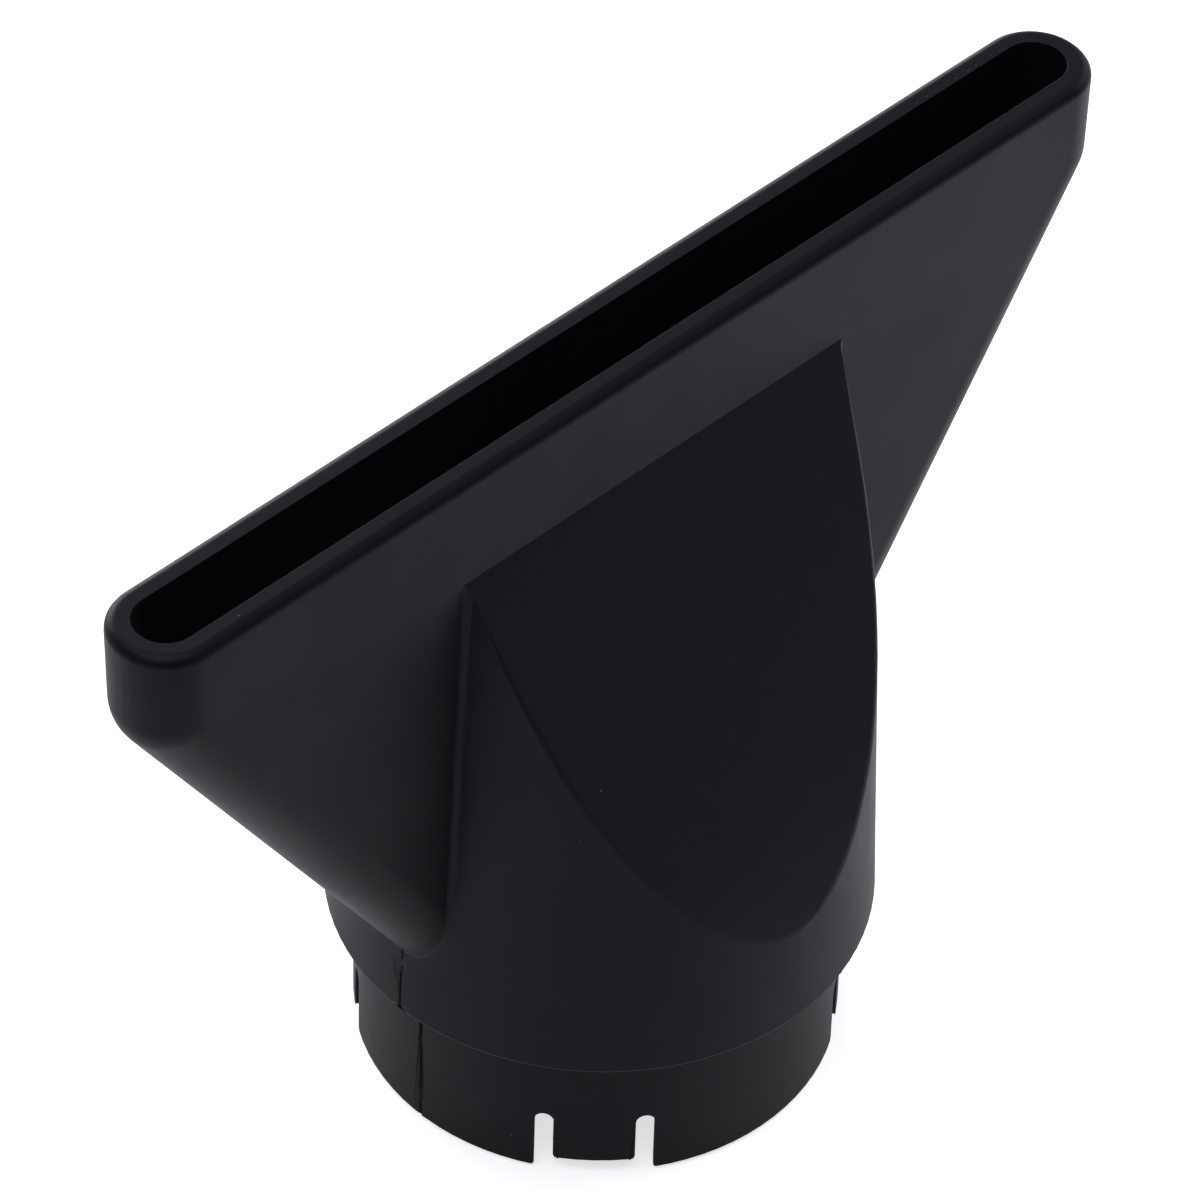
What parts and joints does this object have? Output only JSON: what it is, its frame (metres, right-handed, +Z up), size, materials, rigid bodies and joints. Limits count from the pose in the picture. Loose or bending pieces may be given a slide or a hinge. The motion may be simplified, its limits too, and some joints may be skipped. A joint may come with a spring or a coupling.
{
  "type": "hair dryer concentrator nozzle",
  "caption": "Push-on hair dryer nozzle: a round slotted collar and faceted body opening into a flat fan with a long narrow slot mouth.",
  "frame": {"origin": "centre of the collar's rim, on the plane that the nozzle stands on", "axes": "+Z up the collar's axis to the mouth, X along the slot, Y across the slot"},
  "size_m": [0.1124, 0.0494, 0.0809],
  "materials": {
    "moulded_black": "fine satin mould texture"
  },
  "bodies": {
    "root": {"nozzle": "moulded_black"}
  },
  "joints": []
}
